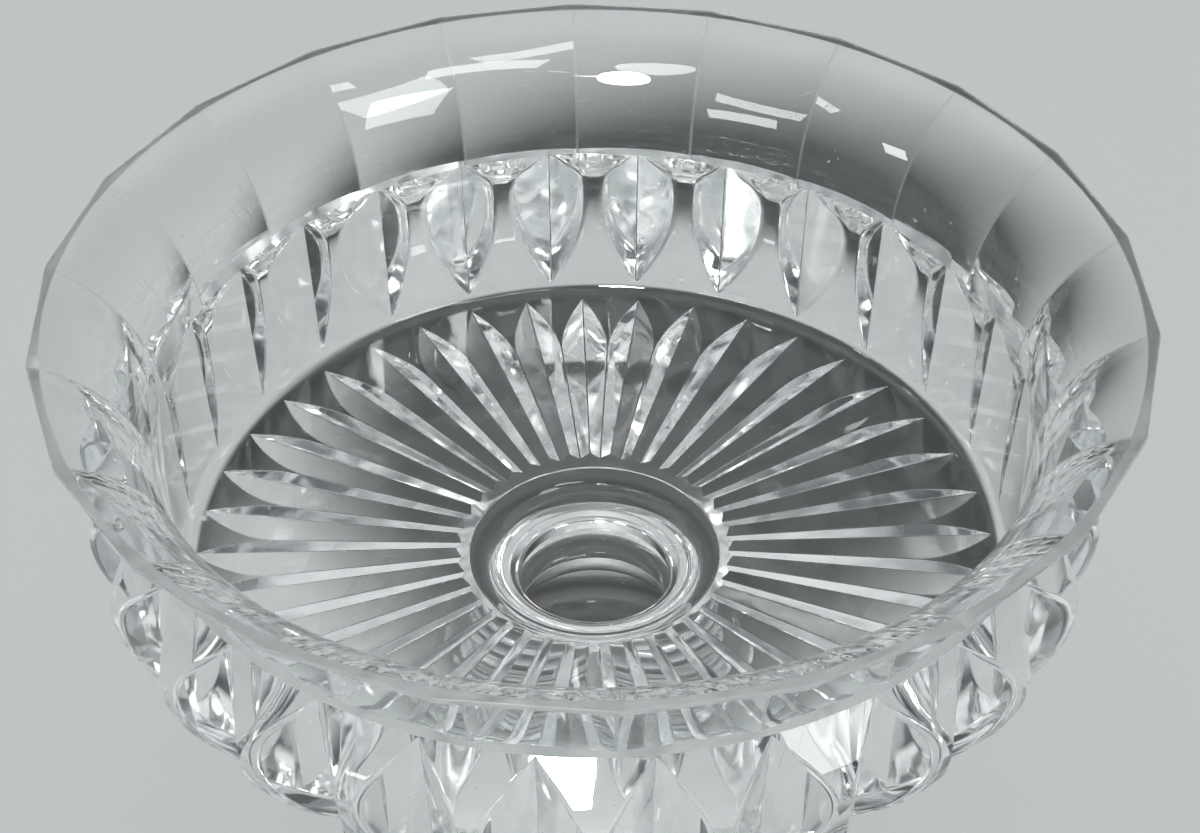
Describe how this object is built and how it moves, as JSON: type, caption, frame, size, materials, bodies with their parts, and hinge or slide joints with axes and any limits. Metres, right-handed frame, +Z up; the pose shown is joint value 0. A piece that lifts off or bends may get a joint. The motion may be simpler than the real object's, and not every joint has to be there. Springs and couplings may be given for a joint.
{
  "type": "compote bowl",
  "caption": "Footed compote bowl in clear cut glass, with a flared panelled rim, mitre-cut olives round the body, a ray star under the floor, and a knopped stem on a spreading foot.",
  "frame": {"origin": "centre of the foot's standing ring, on the surface that the bowl stands on", "axes": "+Z up along the axis of the bowl and stem, -Y towards the picture's viewer, +X to the viewer's right"},
  "size_m": [0.2288, 0.2298, 0.1489],
  "materials": {
    "bowl_glass": "polished cut crystal, fine use scratches inside",
    "stem_glass": "fire-polished solid crystal",
    "foot_glass": "fire-polished crystal, standing ring worn by use",
    "clear_bond": "thin clear bonding layer"
  },
  "bodies": {
    "root": {"bowl": "bowl_glass", "bowl_bond": "clear_bond", "stem": "stem_glass", "foot_bond": "clear_bond", "foot": "foot_glass"}
  },
  "joints": []
}
